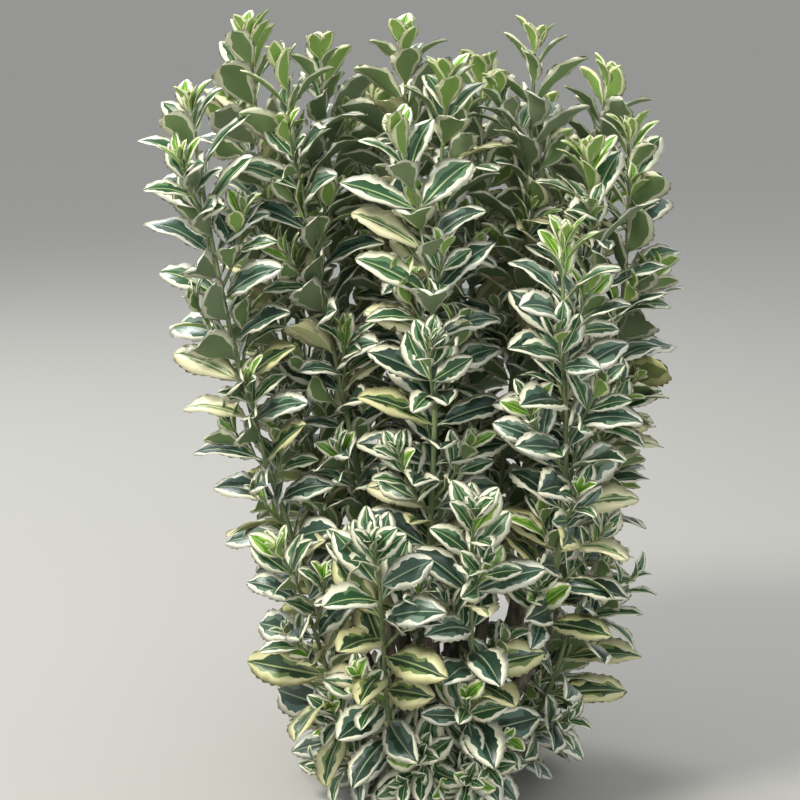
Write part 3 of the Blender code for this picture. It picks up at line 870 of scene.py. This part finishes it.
def seatLeaf(planting, owner, foot, way, turn, angle, size, family, chance):
    roll = math.radians(chance.uniform(-14, 14))
    length = leafSeat["length"] * size * chance.uniform(0.9, 1.1)
    shape = chance.randrange(variantsPerFamily)
    for swing, lift, share in leafSeat["tries"]:
        outward = sideOf(way, turn + swing)
        lean = angle - lift
        along = (way * math.cos(lean) + outward * math.sin(lean)).normalized()
        face = (way - along * way.dot(along)).normalized()
        # a leaf at the side of its stem turns its face out of the crown, to the light
        outOfCrown = Vector((foot.x, foot.y, 0)) / leafSeat["lightReach"]
        outOfCrown /= max(1, outOfCrown.length)
        toLight = outOfCrown.dot(along.cross(face))
        face = Matrix.Rotation(roll + leafSeat["turnToLight"] * toLight, 3, along) @ face
        turned = Matrix((along.cross(face), along, face)).transposed()
        scale = length * share
        root = foot + along * scale * -leafRows[0]
        place = Matrix.Translation(root) @ turned.to_4x4() @ Matrix.Scale(scale, 4)
        if planting.accepts(owner, place):
            planting.seats[family].append((root, turned.to_euler(), scale, shape))
            return


def addPairs(planting, owner, points, foot, total, scale, low, chance):
    length = pathLength(points)
    distance = foot
    turn = chance.uniform(0, math.pi)
    tone = chance.uniform(-0.12, 0.12)
    while distance < length - 0.004:
        spot, way = pointAlong(points, distance)
        fromTip = length - distance
        for half in (0, math.pi):
            swing = math.radians(chance.uniform(-16, 16))
            angle = leafAngle(fromTip, total, low) + math.radians(chance.uniform(-9, 9))
            family = chooseFamily(fromTip, spot, chance, tone)
            size = scale * leafSize(fromTip, total)
            seatLeaf(planting, owner, spot, way, turn + half + swing, angle, size, family, chance)
        turn += math.pi / 2
        opened = min(1, fromTip / leafSeat["youngLength"])
        spacing = leafSeat["topSpacing"] + (leafSeat["pairSpacing"] - leafSeat["topSpacing"]) * opened
        distance += spacing * chance.uniform(0.9, 1.1)
    spot, way = pointAlong(points, length)
    count = 8 if scale == 1 else 4
    limeShare = (0.95 if scale == 1 else 0.7) if spot.z > 0.32 else 0.25
    tipFamily = "young" if chance.random() < limeShare else "fresh"
    for number in range(count):
        lean = math.radians(9 + 9 * (number % 3) + chance.uniform(-4, 4))
        size = scale * (0.34 + 0.09 * (number % 3))
        angle = turn + number * 2 * math.pi / count
        seatLeaf(planting, owner, spot, way, angle, lean, size, tipFamily, chance)


def addTwig(planting, owner, points, share, turn, length, low, chance):
    foot, way = pointAlong(points, share * pathLength(points))
    side = sideOf(way, turn)
    startWay = (way * 0.75 + side * 0.66).normalized()
    endWay = (way * 0.95 + side * 0.3).normalized()
    end = foot + (startWay + endWay).normalized() * length
    twig = curvePoints(foot, startWay, end, endWay, 6)
    for point in twig[2:]:
        if not planting.ownSpace(owner, point, 0.002) or planting.limbs.find(point)[2] < 0.009:
            return
    planting.stems.append((twig, limbForm["twigBase"], limbForm["twigTip"]))
    addPairs(planting, owner, twig, 0.28 * length, length * 2.4, 0.80, low, chance)


def growShoot(planting, name, points, radius, low, twigs):
    chance = random.Random(f"{name}{seed}leaves")
    planting.stems.append((points, radius, limbForm["stemTip"]))
    addPairs(planting, name, points, leafSeat["foot"], pathLength(points), 1, low, chance)
    turn = chance.uniform(0, 2 * math.pi)
    for number in range(twigs):
        share = 0.05 + 0.80 * (number + chance.uniform(0, 0.7)) / twigs
        addTwig(planting, name, points, share, turn, chance.uniform(0.026, 0.052), low, chance)
        turn += math.radians(137.5)


def limbObject(name, limbs):
    # one curve object that holds a path, with its radius, for each limb
    curve = bpy.data.curves.new(name, "CURVE")
    curve.dimensions = "3D"
    for points, first, last in limbs:
        spline = curve.splines.new("POLY")
        spline.points.add(len(points) - 1)
        for number, (spot, point) in enumerate(zip(spline.points, points)):
            spot.co = (*point, 1)
            spot.radius = first + (last - first) * number / (len(points) - 1)
    obj = bpy.data.objects.new(name, curve)
    bpy.context.scene.collection.objects.link(obj)
    return obj


def seatObject(name, seats):
    mesh = bpy.data.meshes.new(name)
    mesh.from_pydata([seat[0] for seat in seats], [], [])
    mesh.attributes.new("turn", "FLOAT_VECTOR", "POINT")
    mesh.attributes.new("size", "FLOAT", "POINT")
    mesh.attributes.new("shape", "INT", "POINT")
    turns = [value for seat in seats for value in seat[1]]
    mesh.attributes["turn"].data.foreach_set("vector", turns)
    mesh.attributes["size"].data.foreach_set("value", [seat[2] for seat in seats])
    mesh.attributes["shape"].data.foreach_set("value", [seat[3] for seat in seats])
    obj = bpy.data.objects.new(name, mesh)
    bpy.context.scene.collection.objects.link(obj)
    return obj


crownLook = {"rings": 26, "segments": 96, "lump": 0.0016, "lumpScale": 95, "ridge": 0.0011, "ridgeScale": 330}


def crownRadius(height):
    rise = min(1, height / crownForm["height"])
    flare = (crownForm["flareRadius"] - crownForm["radius"]) * (1 - rise) ** 3
    shoulder = math.sqrt(max(0, 1 - max(0, (rise - 0.55) / 0.45) ** 2))
    return flare + crownForm["radius"] * shoulder


def makeCrown(bark):
    # the stool's turned profile with its root lobes, then lumps and furrows of bark
    from mathutils import noise

    body = bmesh.new()
    rings = []
    for number in range(crownLook["rings"]):
        rise = math.sin(math.pi / 2 * number / crownLook["rings"])
        height = crownForm["height"] * rise
        ring = []
        for step in range(crownLook["segments"]):
            angle = 2 * math.pi * step / crownLook["segments"]
            lobes = math.sin(crownForm["lobes"] * angle + 0.6)
            radius = crownRadius(height) * (1 + crownForm["lobeDepth"] * (1 - rise) * lobes)
            spot = Vector((radius * math.cos(angle), radius * math.sin(angle), height))
            lump = noise.noise(spot * crownLook["lumpScale"]) * crownLook["lump"]
            drawn = Vector((spot.x, spot.y, spot.z * 0.3)) * crownLook["ridgeScale"]
            ridge = noise.noise(drawn) * crownLook["ridge"]
            push = (lump + ridge - 0.0008) * min(1, 3 * rise + 0.4)
            out = Vector((spot.x, spot.y, 0)).normalized()
            ring.append(body.verts.new(spot + out * push))
        rings.append(ring)
    top = body.verts.new((0, 0, crownForm["height"]))
    count = crownLook["segments"]
    for low, high in zip(rings, rings[1:]):
        for step in range(count):
            after = (step + 1) % count
            body.faces.new((low[step], low[after], high[after], high[step]))
    for step in range(count):
        body.faces.new((rings[-1][step], rings[-1][(step + 1) % count], top))
    body.faces.new(list(reversed(rings[0])))
    for face in body.faces:
        face.smooth = True
    body.faces.ensure_lookup_table()
    body.faces[-1].smooth = False
    mesh = bpy.data.meshes.new("rootCrown")
    body.to_mesh(mesh)
    body.free()
    mesh.materials.append(bark)
    crown = bpy.data.objects.new("rootCrown", mesh)
    bpy.context.scene.collection.objects.link(crown)
    return crown


boughBark = {"Step": 0.0022, "Sides": 18, "Ridge Height": 0.0016, "Ridge Scale": 420.0, "Ridge Stretch": 0.22}
stemSkin = {"Step": 0.0060, "Sides": 7, "Ridge Height": 0.0005, "Ridge Scale": 600.0, "Ridge Stretch": 0.10}


def main():
    makeCamera()
    makeStudio()
    bark = stemFinish("greyBrownBark", barkLook["ridge"], barkLook["furrow"], barkLook, 0.85)
    green = stemFinish("sageStem", greenStemLook["pale"], greenStemLook["dark"], greenStemLook, 0.55)
    report("finishes made")

    limbPaths = {name: boughPath(plan, spires) for name, (plan, spires) in boughs.items()}
    axes = {}
    for name, (_, spires) in boughs.items():
        for spire in spires:
            axes[spire] = spirePath(spires, limbPaths[name], spire)
    spireNames = list(axes)
    for name, (turn, tip) in lowShoots.items():
        axes[name] = shootPath(turn, tip)
    planting = Planting(axes, limbPaths)
    for name, points in axes.items():
        low = name not in spireNames
        radius = limbForm["shootBase"] if low else limbForm["stemBase"]
        growShoot(planting, name, points, radius, low, 5 if low else 10)
    report(f"{sum(len(seats) for seats in planting.seats.values())} leaves seated")

    ridgedLimb = limbTree()
    pieces = []
    crown = makeCrown(bark)
    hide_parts("root_crown")
    pieces.append(crown)
    for name, points in limbPaths.items():
        plan, spires = boughs[name]
        foot, way = boughStart(plan)
        tipRadius = limbForm["forkTip"] if len(spires) > 1 else limbForm["singleTip"]
        path = [foot - way * 0.009, foot] + points
        label = "".join(word.capitalize() for word in name.split("_")[1:])
        bough = limbObject(f"bough{label}", [(path, limbForm["boughBase"], tipRadius)])
        bough = grown(bough, ridgedLimb, boughBark | {"Finish": bark})
        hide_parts(name)
        pieces.append(bough)
    report("crown and boughs made")

    for turn, _ in lowShoots.values():
        foot, way = shootStart(turn)
        stub = [foot - way * 0.006, foot + way * limbForm["stub"] * 1.05]
        planting.stems.append((stub, limbForm["shootBase"] * 1.5, limbForm["shootBase"]))
    stems = grown(limbObject("greenStems", planting.stems), ridgedLimb, stemSkin | {"Finish": green})
    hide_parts(*axes)
    pieces.append(stems)
    report("green stems made")

    spray = sprayTree()
    total = 0
    for family, seats in planting.seats.items():
        finishes = {f"Finish {zone}": leafFinish(family, zone) for zone in zoneNames}
        values = finishes | {"Leaf Shapes": leafCollection(family)}
        # from the ground up, in as many pieces as keep each one light
        seats.sort(key=lambda seat: seat[0].z)
        count = math.ceil(len(seats) / leavesPerPiece)
        for number in range(count):
            share = seats[len(seats) * number // count:len(seats) * (number + 1) // count]
            name = f"{family}Leaves{number + 1}" if count > 1 else f"{family}Leaves"
            leaves = grown(seatObject(name, share), spray, values)
            pieces.append(leaves)
            leaves.data.calc_loop_triangles()
            triangles = len(leaves.data.loop_triangles)
            total += triangles
            report(f"{name}: {len(share)} leaves, {triangles} triangles")
    report(f"{total} triangles of leaves")
    for piece in pieces:
        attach(piece, "root")


main()
